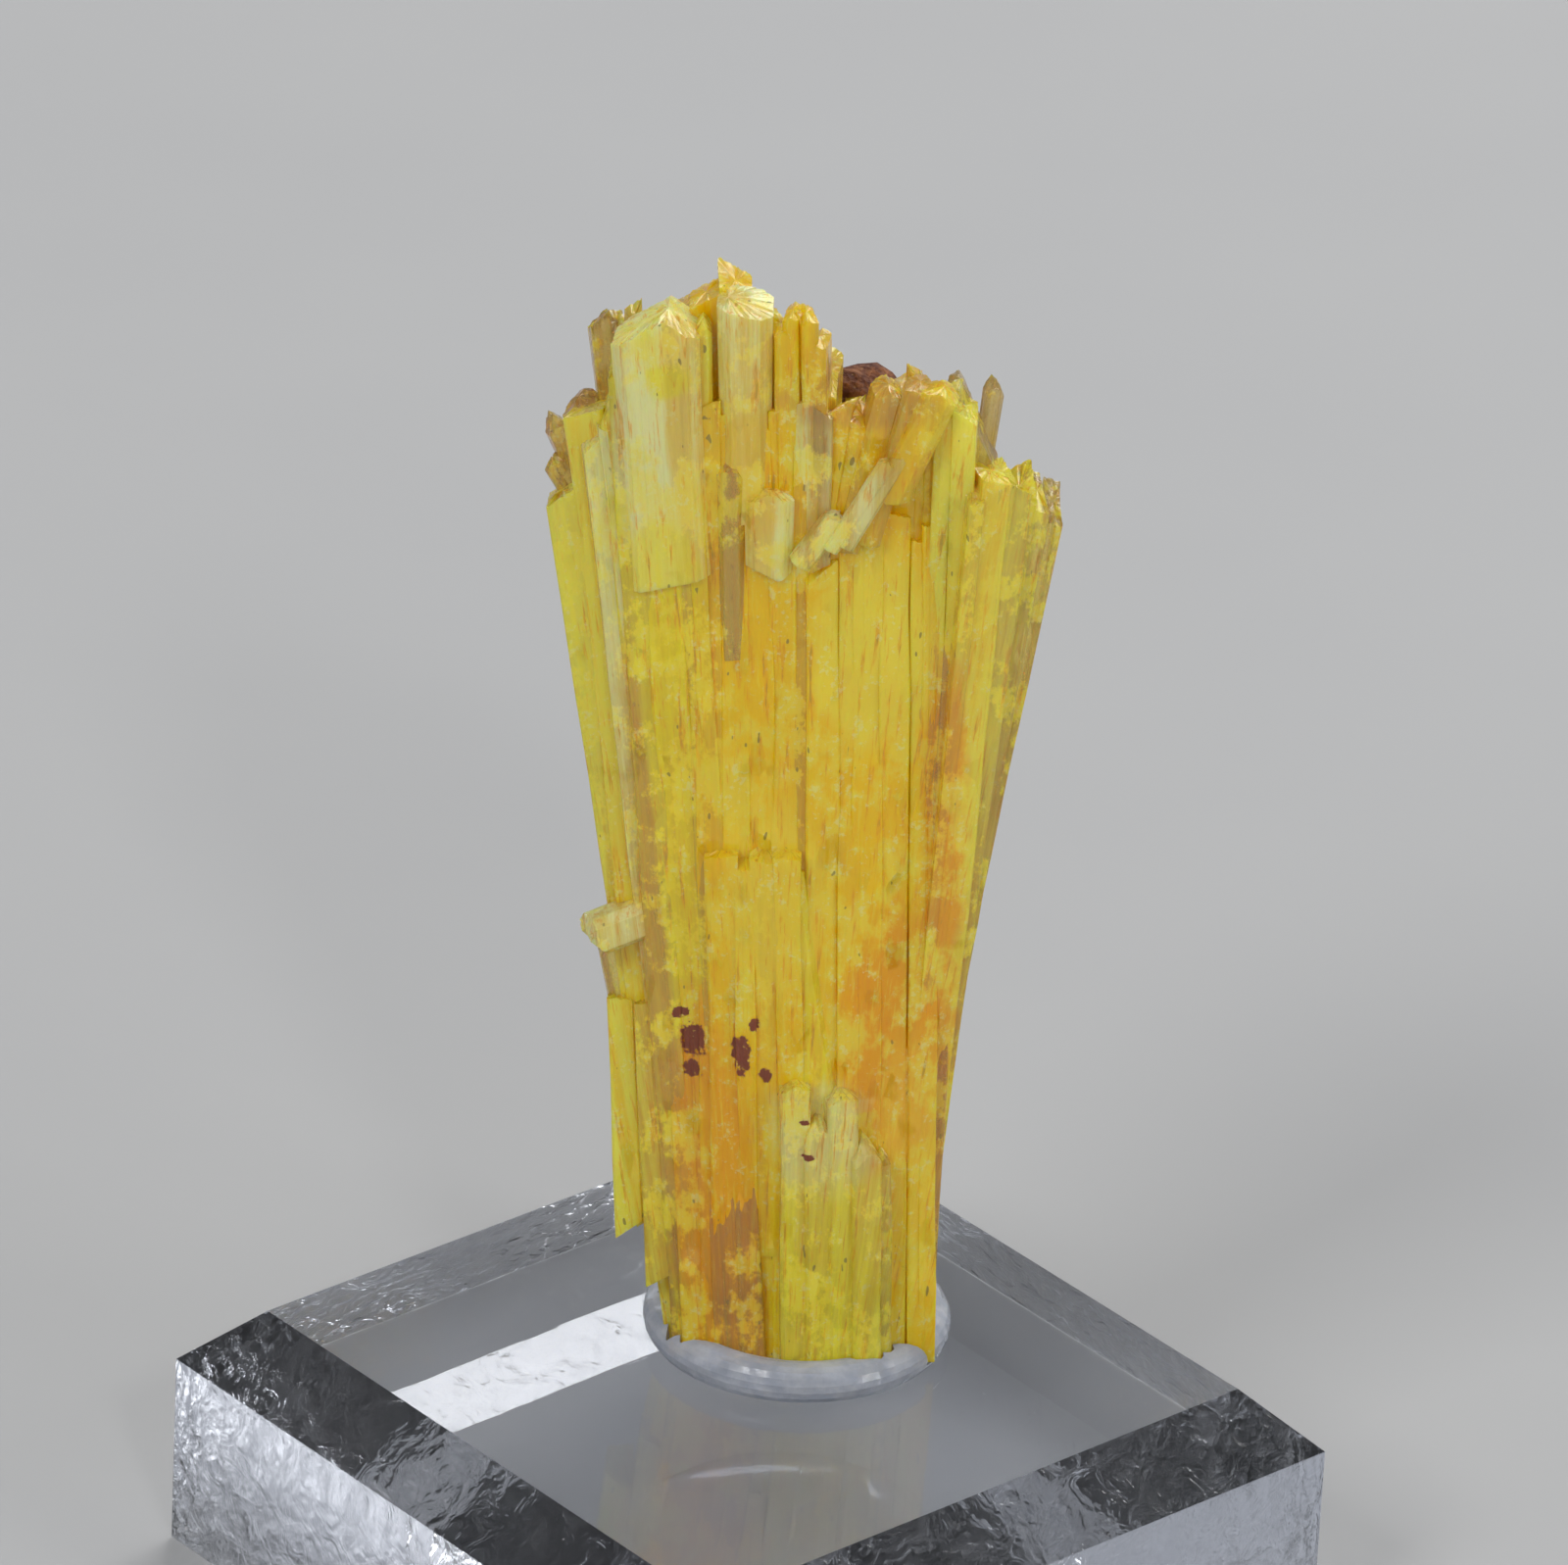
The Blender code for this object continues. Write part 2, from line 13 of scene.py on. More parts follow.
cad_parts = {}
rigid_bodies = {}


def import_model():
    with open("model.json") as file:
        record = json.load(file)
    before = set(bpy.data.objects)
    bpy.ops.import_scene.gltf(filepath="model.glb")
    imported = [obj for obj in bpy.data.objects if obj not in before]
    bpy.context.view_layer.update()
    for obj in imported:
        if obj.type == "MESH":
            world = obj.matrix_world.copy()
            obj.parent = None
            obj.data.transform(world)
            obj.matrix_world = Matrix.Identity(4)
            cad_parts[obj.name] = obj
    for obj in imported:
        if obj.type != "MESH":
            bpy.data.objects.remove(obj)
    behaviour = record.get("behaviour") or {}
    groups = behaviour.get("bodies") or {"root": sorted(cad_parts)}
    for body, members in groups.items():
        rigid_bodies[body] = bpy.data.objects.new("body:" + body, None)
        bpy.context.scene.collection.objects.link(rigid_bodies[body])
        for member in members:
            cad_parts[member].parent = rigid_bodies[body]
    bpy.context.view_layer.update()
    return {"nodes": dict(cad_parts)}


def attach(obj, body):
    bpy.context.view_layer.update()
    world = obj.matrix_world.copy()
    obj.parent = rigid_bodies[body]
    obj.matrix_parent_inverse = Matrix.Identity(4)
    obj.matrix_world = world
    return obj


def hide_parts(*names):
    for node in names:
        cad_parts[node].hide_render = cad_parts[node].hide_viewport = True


bl_info = {
    "name": "Legrandite cluster",
    "version": (1, 0, 0),
    "blender": (4, 5, 0),
    "location": "3D View > Sidebar > Legrandite",
    "description": "Builds a translucent yellow crystal cluster on a clear display block",
    "category": "Object",
}

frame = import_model()

MM = 0.001

# The block and where the specimen stands on it, as in the CAD
BASE_HEIGHT = 6.35 * MM
SPECIMEN_PLACE = (1.44 * MM, 0.11 * MM)
SPECIMEN_TURN = math.radians(-41.4)
SPECIMEN_LEAN = math.radians(-2.8)

# The camera, fitted to the edges of the block in the photograph
CAMERA_PLACE = (-0.18246, -0.20682, 0.16817)
CAMERA_AZIMUTH = math.radians(-41.44)
CAMERA_ELEVATION = math.radians(28.03)
CAMERA_ROLL = math.radians(2.8)
CAMERA_LENS = 315.0
SENSOR = 36.0
CAMERA_CLIP = (0.01, 10.0)

# The studio, in metres: the floor's front edge, the radius and steps of its bend, its top and
# half width, and how far it lies below the block
FLOOR_FRONT = -1.2
FLOOR_BEND = 0.35
FLOOR_BEND_STEPS = 12
FLOOR_TOP = 1.6
FLOOR_HALF_WIDTH = 1.6
FLOOR_DROP = 0.00002
LIGHT_AIM = (0, 0, 0.015)
WORLD_COLOR = (0.9, 0.93, 1.0)
WORLD_STRENGTH = 0.42
# Each light: its place as seen from the camera (right, away, up), its size and its power
LIGHTS = (
    ("key", (-0.30, -0.40, 0.45), (0.2, 0.2), 1.5),
    ("fill", (0.45, -0.25, 0.25), (0.12, 0.3), 0.7),
    ("back", (0.15, 0.35, 0.40), (0.4, 0.2), 2.0),
    ("sparkle", (0.12, -0.45, 0.35), (0.05, 0.05), 0.4),
)


class Signal:
    """A socket in a material's nodes. Maths on it adds Math nodes."""

    def __init__(self, shader, socket):
        self.shader = shader
        self.socket = socket

    def math(self, operation, *others):
        values = {place: value for place, value in enumerate((self, *others))}
        return self.shader.node("ShaderNodeMath", {"operation": operation}, values)

    def __add__(self, other):
        return self.math("ADD", other)

    __radd__ = __add__

    def __sub__(self, other):
        return self.math("SUBTRACT", other)

    def __rsub__(self, other):
        return self.shader.node("ShaderNodeMath", {"operation": "ADD"}, {0: other, 1: 0.0}) - self

    def __mul__(self, other):
        return self.math("MULTIPLY", other)

    __rmul__ = __mul__

    def __truediv__(self, other):
        return self.math("DIVIDE", other)

    def __pow__(self, other):
        return self.math("POWER", other)

    def larger(self, other):
        return self.math("MAXIMUM", other)

    def smooth(self, low, high):
        """0 below low and 1 above high, or the other way round where low is the larger."""
        settings = {"interpolation_type": "SMOOTHSTEP"}
        return self.shader.node("ShaderNodeMapRange", settings, {0: self, 1: low, 2: high})


class Shader:
    """A material's nodes."""

    def __init__(self, name):
        self.material = bpy.data.materials.new(name)
        self.material.use_nodes = True
        self.tree = self.material.node_tree
        self.tree.nodes.clear()

    def node(self, kind, settings=None, inputs=None, out=0):
        """Adds a node, sets it up, links or sets its sockets and gives one of its outputs."""
        node = self.tree.nodes.new(kind)
        for name, value in (settings or {}).items():
            setattr(node, name, value)
        for name, value in (inputs or {}).items():
            if isinstance(value, Signal):
                self.tree.links.new(value.socket, node.inputs[name])
            else:
                node.inputs[name].default_value = value
        return Signal(self, node.outputs[out])

    def mix(self, factor, low, high):
        """Blends two colours."""
        colors = {"Factor": factor, 6: opaque(low), 7: opaque(high)}
        return self.node("ShaderNodeMix", {"data_type": "RGBA"}, colors, out=2)

    def vector(self, across, back, up):
        return self.node("ShaderNodeCombineXYZ", inputs={0: across, 1: back, 2: up})

    def axes(self, vector):
        """The three numbers of a vector."""
        node = self.node("ShaderNodeSeparateXYZ", inputs={0: vector}).socket.node
        return [Signal(self, node.outputs[place]) for place in range(3)]

    def noise(self, vector, scale=1.0, detail=2.0, roughness=0.5, distortion=0.0):
        inputs = {"Vector": vector, "Scale": scale, "Detail": detail, "Roughness": roughness,
                  "Distortion": distortion}
        return self.node("ShaderNodeTexNoise", inputs=inputs)

    def cells(self, vector, scale=1.0, out=0):
        """The distance to the nearest cell's middle, or with out=1 the cell's own colour."""
        return self.node("ShaderNodeTexVoronoi", inputs={"Vector": vector, "Scale": scale}, out=out)

    def bump(self, height, distance, strength=1.0):
        inputs = {"Height": height, "Distance": distance, "Strength": strength}
        return self.node("ShaderNodeBump", inputs=inputs)

    def vectors(self, operation, inputs):
        return self.node("ShaderNodeVectorMath", {"operation": operation}, inputs)

    def surface(self, **inputs):
        """A Principled shader."""
        named = {name.replace("_", " "): value for name, value in inputs.items()}
        return self.node("ShaderNodeBsdfPrincipled", inputs=named)

    def finish(self, surface, volume=None):
        """The material with this surface, and a plain absorbing volume where one is given."""
        output = self.tree.nodes.new("ShaderNodeOutputMaterial")
        self.tree.links.new(surface.socket, output.inputs["Surface"])
        if volume:
            color, density = volume
            absorbing = self.node("ShaderNodeVolumeAbsorption",
                                  inputs={"Color": opaque(color), "Density": density})
            self.tree.links.new(absorbing.socket, output.inputs["Volume"])
        return self.material


def opaque(color):
    return color if isinstance(color, Signal) else (*color, 1.0)


def specimen_place(shader):
    """Across, back and up on the specimen, in millimetres in its own frame."""
    place = shader.node("ShaderNodeTexCoord", out=3)
    return shader.node("ShaderNodeMapping", {"vector_type": "TEXTURE"}, {
        "Vector": place,
        "Location": (*SPECIMEN_PLACE, BASE_HEIGHT),
        "Rotation": (0, SPECIMEN_LEAN, SPECIMEN_TURN),
        "Scale": (MM, MM, MM),
    })


# Colours of the crystals, and a dark olive for painted shade
LEMON = (0.90, 0.80, 0.012)
YELLOW = (0.95, 0.84, 0.001)
PALE = (0.90, 0.84, 0.09)
GOLD = (0.97, 0.62, 0.0)
AMBER = (0.88, 0.36, 0.0)
CREAM = (0.95, 0.82, 0.07)
WHITISH = (0.90, 0.95, 0.42)
RUST = (0.22, 0.05, 0.02)
BROWN = (0.62, 0.36, 0.08)
DARK = (0.16, 0.16, 0.05)
# A dark olive for painted shade in the narrow gaps between crystals
PAINTED_GAP_SHADE = (0.42, 0.36, 0.04)
DEEP_YELLOW = (0.86, 0.62, 0.01)
CLEAR_YELLOW = (1.0, 0.97, 0.6)

# Refraction, and what is absorbed inside: a colour and a density per metre
LEGRANDITE_IOR = 1.62
ACRYLIC_IOR = 1.49
WAX_IOR = 1.44
LEGRANDITE_ABSORBS = ((0.99, 0.82, 0.02), 330.0)
ACRYLIC_ABSORBS = ((0.78, 0.84, 0.97), 18.0)
WAX_ABSORBS = ((0.75, 0.80, 0.92), 300.0)

# The fan, in millimetres on the specimen, as in the CAD
FAN_LEVEL = 21.6
FAN_ROOT_ACROSS = -0.8
FAN_ROOT_UP = -15.6
# Brings lines of the fan to about their width at FAN_LEVEL
FAN_SPREAD = 37.0
FAN_FOOT_DEPTH = 0.75
CREST = (
    (-5.3, 21.4), (-4.7, 23.4), (-4.2, 24.8), (-3.0, 26.3), (-1.4, 27.1), (-0.4, 26.6),
    (0.4, 25.6), (1.3, 24.5), (2.5, 24.3), (4.0, 24.1), (4.8, 22.4), (5.9, 21.0),
)
CREST_FALL = 0.55
HOLLOW = (0.2, 3.0)
HOLLOW_BACK = 0.3
HOLLOW_DROP = 2.2
FOOT_LIFT = 0.3
SEED = 7

# Stout crystals are bundles of laths about this wide, in millimetres
LATH_WIDTH = 0.5
LATH_OVERLAP = 0.1
LATH_RELIEF = 0.05
LATH_RAGGED = 0.35
LATH_CHAMFER = 0.05

# Fine ribs run down every lath, in millimetres: their width and its spread as shares, how deep
# they are and at most as a share of the thinner side, and how much of a rib each shoulder takes
RIB_WIDTH = 0.11
RIB_SPREAD = (0.5, 1.7)
RIB_LEAST = 0.2
RIB_DEPTH = 0.015
RIB_DEPTH_SHARE = 0.12
RIB_SHOULDER = 0.18
# Along a lath the ribs change depth at every ring, by this share of their depth at most
RING_STEP = 2.2
RING_CHANGE = 0.6
# A lath's sides waver by this much, over lengths of about 1 / WOBBLE_SCALE, and it swells or
# narrows by the share TAPER. Its ends are rough, and close through a ring at CAP_RING of the way
WOBBLE = 0.045
WOBBLE_SCALE = 0.9
TAPER = 0.05
END_ROUGH = 0.05
CAP_RING = 0.5
LEAST_LENGTH = 0.05

BLUNT = ((4, 0),)
WEDGE = ((24, 0), (-30, 0))
POINT = ((58, 0), (-52, 0), (0, 30))
ROOF = ((16, 8), (-20, 4))


@dataclass
class Crystal:
    """One prism. foot and tip are the ends of its axis and width and thick its section, in
    millimetres on the specimen. turn is about the axis, and tops and roots hold the slopes of
    the faces that end it, as degrees across and back. peak is where they meet, as shares of
    half the section. chamfer is the share of the thinner side off each long edge, and laths is
    how many laths it is built of, or 0 for as many as its width takes. clear is how glassy it
    is, from 0 to 1."""

    foot: tuple
    tip: tuple
    width: float
    thick: float
    turn: float = 0.0
    tops: tuple = WEDGE
    roots: tuple = BLUNT
    peak: tuple = (0.0, 0.0)
    chamfer: float = 0.22
    laths: int = 0
    tint: tuple = LEMON
    clear: float = 0.35


def slope_height(slopes, summit, across, back):
    """How high a prism that ends in these slopes reaches at a place in its section."""
    heights = []
    for tilt_across, tilt_back in slopes:
        tilt = (Matrix.Rotation(math.radians(tilt_across), 3, "Y")
                @ Matrix.Rotation(math.radians(tilt_back), 3, "X"))
        normal = tilt @ Vector((0, 0, 1))
        fall = normal.x * (across - summit[0]) + normal.y * (back - summit[1])
        heights.append(-fall / normal.z)
    return min(heights)


def axis_frame(foot, tip, turn):
    """A frame at the foot with Z along the axis, its Y kept as near to straight back as it goes."""
    up = (tip - foot).normalized()
    across = Vector((0, 1, 0)).cross(up).normalized()
    back = up.cross(across)
    axes = Matrix((across, back, up)).transposed().to_4x4()
    return Matrix.Translation(foot) @ axes @ Matrix.Rotation(math.radians(turn), 4, "Z")


def ribbed_outline(crystal, chance):
    """The section's outline as points with their outward directions, two to a rib."""
    wide = crystal.width / 2
    deep = crystal.thick / 2
    cut = crystal.chamfer * 2 * min(wide, deep)
    corners = [(wide - cut, -deep), (wide, -deep + cut), (wide, deep - cut), (wide - cut, deep),
               (-wide + cut, deep), (-wide, deep - cut), (-wide, -deep + cut), (-wide + cut, -deep)]
    points = []
    for start, end in zip(corners, corners[1:] + corners[:1]):
        start, end = Vector(start), Vector(end)
        edge = end - start
        outward = Vector((edge.y, -edge.x)).normalized()
        done = 0.0
        while done < edge.length - RIB_WIDTH * RIB_LEAST:
            stop = min(done + RIB_WIDTH * chance.uniform(*RIB_SPREAD), edge.length)
            shoulder = (stop - done) * RIB_SHOULDER
            for place in (done + shoulder, stop - shoulder):
                points.append((start + edge * (place / edge.length), outward))
            done = stop
    return points


def lath_mesh(name, crystal, chance):
    """A ribbed prism with sloping ends that are a little rough, as a closed mesh. Its corners
    carry where they are round and along the lath, and the lath's tint and clearness."""
    foot, tip = Vector(crystal.foot), Vector(crystal.tip)
    length = (tip - foot).length
    summit = (crystal.peak[0] * crystal.width / 2, crystal.peak[1] * crystal.thick / 2)
    outline = ribbed_outline(crystal, chance)
    count = len(outline)
    depth = min(RIB_DEPTH, RIB_DEPTH_SHARE * min(crystal.width, crystal.thick))
    levels = [chance.uniform(0, depth) for _ in range(count // 2)]
    rings = max(2, 1 + round(length / RING_STEP))
    drift = Vector((chance.uniform(0, 99), chance.uniform(0, 99), chance.uniform(0, 99)))
    verts, grain = [], []
    for ring in range(rings):
        share = ring / (rings - 1)
        swell = 1 + chance.uniform(-TAPER, TAPER)
        for place, (point, outward) in enumerate(outline):
            bulge = noise.noise(drift + Vector((*point, share * length)) * WOBBLE_SCALE)
            spot = point * swell - outward * (levels[place // 2] + WOBBLE * bulge)
            low = -slope_height(crystal.roots, (0, 0), spot.x, spot.y)
            high = length + slope_height(crystal.tops, summit, spot.x, spot.y)
            if ring in (0, rings - 1):
                high -= chance.uniform(0, END_ROUGH)
            high = max(high, low + LEAST_LENGTH)
            verts.append((spot.x, spot.y, low + share * (high - low)))
            grain.append((place * RIB_WIDTH / 2, share * length, 0.0))
        changes = [chance.uniform(-RING_CHANGE, RING_CHANGE) * depth for _ in levels]
        levels = [min(depth, max(0.0, level + change)) for level, change in zip(levels, changes)]
    faces = []
    for ring in range(rings - 1):
        for place in range(count):
            low, next_low = ring * count + place, ring * count + (place + 1) % count
            faces.append((low, next_low, next_low + count, low + count))
    # Each end closes through one inner ring to its summit
    for end, middle, base in ((0, (0.0, 0.0), 0.0), (rings - 1, summit, length)):
        rim = [end * count + place for place in range(count)]
        slopes = crystal.tops if end else crystal.roots
        sign = 1 if end else -1
        inner = []
        for index in rim[::2]:
            x, y, _ = verts[index]
            x = middle[0] + CAP_RING * (x - middle[0])
            y = middle[1] + CAP_RING * (y - middle[1])
            z = base + sign * slope_height(slopes, middle, x, y)
            z += chance.uniform(-END_ROUGH, END_ROUGH)
            inner.append(len(verts))
            verts.append((x, y, z))
            grain.append((x, y, 1.0))
        hub = len(verts)
        verts.append((*middle, base))
        grain.append((*middle, 1.0))
        for place in range(count):
            one, two = rim[place], rim[(place + 1) % count]
            near = inner[place // 2]
            far = inner[(place // 2 + 1) % len(inner)]
            ring_faces = [(one, two, near)]
            if place % 2:
                ring_faces = [(one, two, far, near), (near, far, hub)]
            faces += ring_faces if end else [face[::-1] for face in ring_faces]
    mesh = bpy.data.meshes.new(name)
    mesh.from_pydata(verts, [], faces)
    shift = chance.uniform(0, 100)
    tint = (*crystal.tint, crystal.clear)
    around = mesh.attributes.new("grain", "FLOAT_VECTOR", "CORNER")
    tints = mesh.attributes.new("tint", "FLOAT_COLOR", "CORNER")
    for place, loop in enumerate(mesh.loops):
        turn, along, cap = grain[loop.vertex_index]
        around.data[place].vector = (turn + shift, along, cap)
        tints.data[place].color = tint
    mesh.transform(axis_frame(foot, tip, crystal.turn))
    return mesh


def bundle(crystal, chance):
    """The crystal as parallel laths of uneven width, or as it is where it is slender."""
    laths = crystal.laths or round(crystal.width / LATH_WIDTH)
    if laths < 2:
        return [crystal]
    foot, tip = Vector(crystal.foot), Vector(crystal.tip)
    across = axis_frame(foot, tip, crystal.turn).to_3x3() @ Vector((1, 0, 0))
    up = (tip - foot).normalized()
    summit = crystal.peak[0] * crystal.width / 2
    length = (tip - foot).length
    shares = [chance.uniform(0.4, 1.6) for _ in range(laths)]
    step = crystal.width / sum(shares)
    left = -crystal.width / 2
    result = []
    for share in shares:
        width = step * share
        offset = left + width / 2
        left += width
        high = length + slope_height(crystal.tops, (summit, 0), offset, 0)
        high -= chance.uniform(0, LATH_RAGGED)
        slopes = [slope[0] for slope in crystal.tops]
        leaning = min(slopes) if offset < summit else max(slopes)
        low = chance.uniform(0, LATH_RAGGED) if crystal.foot[2] > 0 else 0.0
        shade = chance.uniform(0, 1)
        other = chance.choice((GOLD, LEMON, PALE, AMBER))
        result.append(replace(
            crystal,
            foot=tuple(foot + across * offset + up * low),
            tip=tuple(foot + across * offset + up * high),
            width=width + LATH_OVERLAP,
            thick=crystal.thick + chance.uniform(-LATH_RELIEF, LATH_RELIEF),
            turn=crystal.turn + chance.uniform(-3, 3),
            tops=((leaning + chance.uniform(-10, 10), chance.uniform(-22, 22)),),
            peak=(0.0, 0.0),
            chamfer=LATH_CHAMFER,
            tint=tuple(a + (b - a) * 0.2 * shade for a, b in zip(crystal.tint, other)),
            clear=min(1.0, max(0.0, crystal.clear + chance.uniform(-0.2, 0.2))),
        ))
    return result


def crest_height(across, back):
    """How high a tip may reach at a place in the cluster."""
    points = [(-99.0, CREST[0][1]), *CREST, (99.0, CREST[-1][1])]
    for (left, low), (right, high) in zip(points, points[1:]):
        if across <= right:
            share = (across - left) / (right - left)
            return low + share * (high - low) - CREST_FALL * back
    return CREST[-1][1]


def fan_point(reach, back, up):
    """The point at a height on the fan line that passes reach at FAN_LEVEL."""
    spread = (up - FAN_ROOT_UP) / (FAN_LEVEL - FAN_ROOT_UP)
    depth = FAN_FOOT_DEPTH + (1 - FAN_FOOT_DEPTH) * up / FAN_LEVEL
    return (FAN_ROOT_ACROSS + (reach - FAN_ROOT_ACROSS) * spread, back * depth, up)


def fan_layer(chance, back, left, right, count, thick, drop):
    """Evenly spread fan crystals at one depth, their tips following the crest unevenly."""
    step = (right - left) / count
    layer = []
    for place in range(count):
        reach = left + step * (place + chance.uniform(0.35, 0.65))
        depth = back + chance.uniform(-0.25, 0.25)
        top = crest_height(reach, depth) - chance.uniform(0.1, drop)
        if HOLLOW[0] < reach < HOLLOW[1] and depth > HOLLOW_BACK:
            top -= HOLLOW_DROP
        layer.append(Crystal(
            foot=fan_point(reach, depth, 0.0),
            tip=fan_point(reach, depth, top),
            width=step * chance.uniform(1.05, 1.4),
            thick=thick * chance.uniform(0.8, 1.2),
            turn=chance.uniform(-18, 18),
            tops=((chance.uniform(10, 45), chance.uniform(-15, 15)),
                  (-chance.uniform(10, 45), chance.uniform(-15, 15))),
            peak=(chance.uniform(-0.4, 0.4), 0.0),
            tint=PALE if abs(reach) > 3.2 else LEMON if place % 2 else GOLD,
        ))
    return layer


def body_crystals():
    """The stout prisms that carry the rest, from the foot to the crest."""
    return [
        Crystal((1.5, -0.75, 0), (1.65, -0.95, 22.4), 2.9, 2.6, turn=11, tops=((18, 0), (-30, 10)),
                tint=GOLD, clear=0.2),
        Crystal((-0.8, -1.0, 0), (-0.8, -1.15, 25.3), 2.4, 2.3, turn=-2, tops=ROOF, tint=GOLD,
                clear=0.3),
        Crystal((-1.7, -0.8, 0), (-2.95, -1.15, 26.4), 1.95, 2.3, turn=-7, tops=ROOF, tint=LEMON,
                clear=0.45),
        Crystal((0.3, 0.2, 0), (0.1, 0.2, 23.6), 3.8, 2.9, turn=-6, tops=WEDGE, laths=2, tint=GOLD),
        Crystal((2.6, -0.7, 2), (3.5, -1.2, 19.5), 1.0, 1.5, turn=6, tops=((20, 0), (-8, 0)),
                tint=AMBER, clear=0.6),
    ]


def left_fan():
    """Long thin prisms down the left edge, the lowest of them broken off above the foot."""
    return [
        Crystal((-2.45, -0.5, 1.6), (-5.0, -0.8, 22.6), 0.95, 1.6, tops=((-20, 0), (52, 0)),
                peak=(-0.3, 0), tint=PALE, clear=0.5),
        Crystal((-2.3, -0.8, 1.0), (-4.3, -1.25, 24.5), 0.85, 1.6, turn=8, tint=WHITISH, clear=0.5),
        Crystal((-2.1, -1.0, 0.6), (-3.8, -1.45, 25.6), 0.8, 1.3, turn=-6, tops=POINT, tint=PALE,
                clear=0.5),
        Crystal((-2.5, -1.4, 2.6), (-3.3, -1.65, 20.9), 0.95, 0.8, turn=5, tops=((12, 0), (-40, 0)),
                tint=LEMON, clear=0.6),
        Crystal((-3.6, -1.0, 3.3), (-3.75, -1.05, 9.8), 0.95, 1.2, tops=BLUNT,
                roots=((35, 20), (-10, 0)), tint=PALE),
        Crystal((-2.95, -1.25, 2.2), (-3.15, -1.3, 9.7), 0.85, 1.1, tops=BLUNT, roots=((28, 0),),
                tint=PALE, clear=0.5),
        Crystal((-3.8, -0.8, 3.9), (-3.7, -0.8, 6.2), 0.7, 0.9, turn=15, tops=POINT,
                roots=((-40, 0),), tint=PALE),
        Crystal((-3.85, -0.9, 9.0), (-4.2, -0.9, 11.0), 0.65, 0.8, turn=12, tops=POINT, tint=PALE,
                clear=0.8),
        Crystal((-3.8, -1.0, 7.0), (-4.15, -1.05, 7.2), 0.35, 0.35, turn=20, tint=WHITISH),
    ]


def right_fan():
    """Striated prisms that splay out to the right."""
    tips = ((4.4, -1.75, 23.4), (4.9, -1.55, 23.35), (5.35, -1.2, 23.0), (5.7, -0.8, 22.3))
    feet = ((2.6, -0.8, 3.0), (2.4, -0.6, 2.0), (2.0, -0.4, 0.8), (1.6, -0.2, 0.4))
    leans = (((14, 0), (-20, 0)), ((30, 0), (-14, 0)), ((20, 0), (-26, 0)), ((16, 0), (-48, 0)))
    return [
        Crystal(foot, tip, 0.85, 1.4, turn=14 - 2 * place, tops=leans[place],
                tint=PALE, clear=0.45 + 0.1 * place)
        for place, (foot, tip) in enumerate(zip(feet, tips))
    ]


def top_crystals():
    """The stout and the slender tips of the crest, seen from the front."""
    places = ((-0.15, 27.1, 10), (0.13, 27.45, -8), (0.42, 27.4, 12), (0.72, 26.8, -10))
    needles = [
        Crystal((across - 0.02, -1.8, 21.5), (across, -1.95, up), 0.4, 0.9, turn=turn, tint=GOLD)
        for across, up, turn in places
    ]
    return [
        Crystal((-2.65, -1.75, 20.7), (-2.95, -2.0, 27.5), 1.95, 1.3, turn=-6,
                tops=((-30, 0), (38, 0)), roots=((13, 0),), peak=(0.3, 0), laths=1, tint=WHITISH),
        Crystal((-1.5, -0.9, 18), (-1.65, -1.0, 27.8), 1.6, 1.3, tops=((-26, 0), (35, 0)),
                peak=(0.55, 0), tint=GOLD),
        Crystal((-2.6, -0.8, 18), (-2.85, -0.9, 27.2), 1.7, 1.2, tops=((-25, 0), (35, 0)),
                peak=(0.7, 0), tint=PALE),
        Crystal((-0.95, -1.75, 22.3), (-0.95, -1.85, 27.7), 1.25, 1.3, tops=((-12, 0), (12, 6)),
                roots=((20, 0),), peak=(-0.6, 0), laths=1, tint=WHITISH),
        Crystal((-1.85, -1.9, 24.2), (-1.88, -2.0, 27.3), 0.36, 0.6, tops=POINT, tint=PALE),
        *needles,
        Crystal((0.5, -1.75, 17.5), (0.6, -1.95, 25.4), 0.75, 0.9, turn=-5, tint=WHITISH, clear=0.6),
        Crystal((-1.28, -1.95, 18.8), (-1.29, -2.1, 23.9), 0.6, 0.75, tops=POINT, tint=PALE,
                clear=0.8),
        Crystal((-0.45, -2.05, 20.8), (-0.43, -2.15, 23.2), 1.1, 1.0, roots=((30, 0), (-30, 25)),
                laths=1, tint=WHITISH),
        Crystal((2.6, -1.0, 17), (2.9, -1.15, 25.5), 1.3, 1.7, turn=8, tint=GOLD),
        Crystal((3.45, -1.0, 15), (3.8, -1.55, 25.2), 0.8, 1.5, turn=-4, tint=PALE),
        Crystal((3.5, -0.8, 18), (4.35, -1.0, 25.2), 1.5, 1.0, tops=((-20, 0), (62, 0)),
                peak=(-0.7, 0), laths=1, tint=PALE, clear=0.9),
    ]


def rear_tips():
    """Small clear tips that show past the crest from behind."""
    return [
        Crystal((-3.5, 0.2, 20), (-4.15, 0.3, 26.2), 0.75, 0.9, turn=10, tops=((-30, 0), (12, 0)),
                peak=(-0.3, 0), tint=BROWN, clear=0.9),
        Crystal((-3.9, -0.3, 20), (-4.75, -0.4, 24.5), 0.7, 0.9, turn=-12, tops=((-38, 0), (20, 0)),
                tint=BROWN, clear=0.8),
        Crystal((-4.2, -0.2, 21.2), (-5.35, -0.3, 24.0), 0.6, 0.7, turn=20, tops=POINT, tint=BROWN,
                clear=0.9),
        Crystal((-4.2, -0.4, 20.8), (-5.35, -0.5, 23.0), 0.55, 0.6, turn=-15, tint=BROWN, clear=0.8),
        Crystal((4.1, -0.3, 21), (4.62, -0.4, 25.0), 0.42, 0.5, turn=15, tops=POINT, tint=BROWN,
                clear=0.8),
    ]


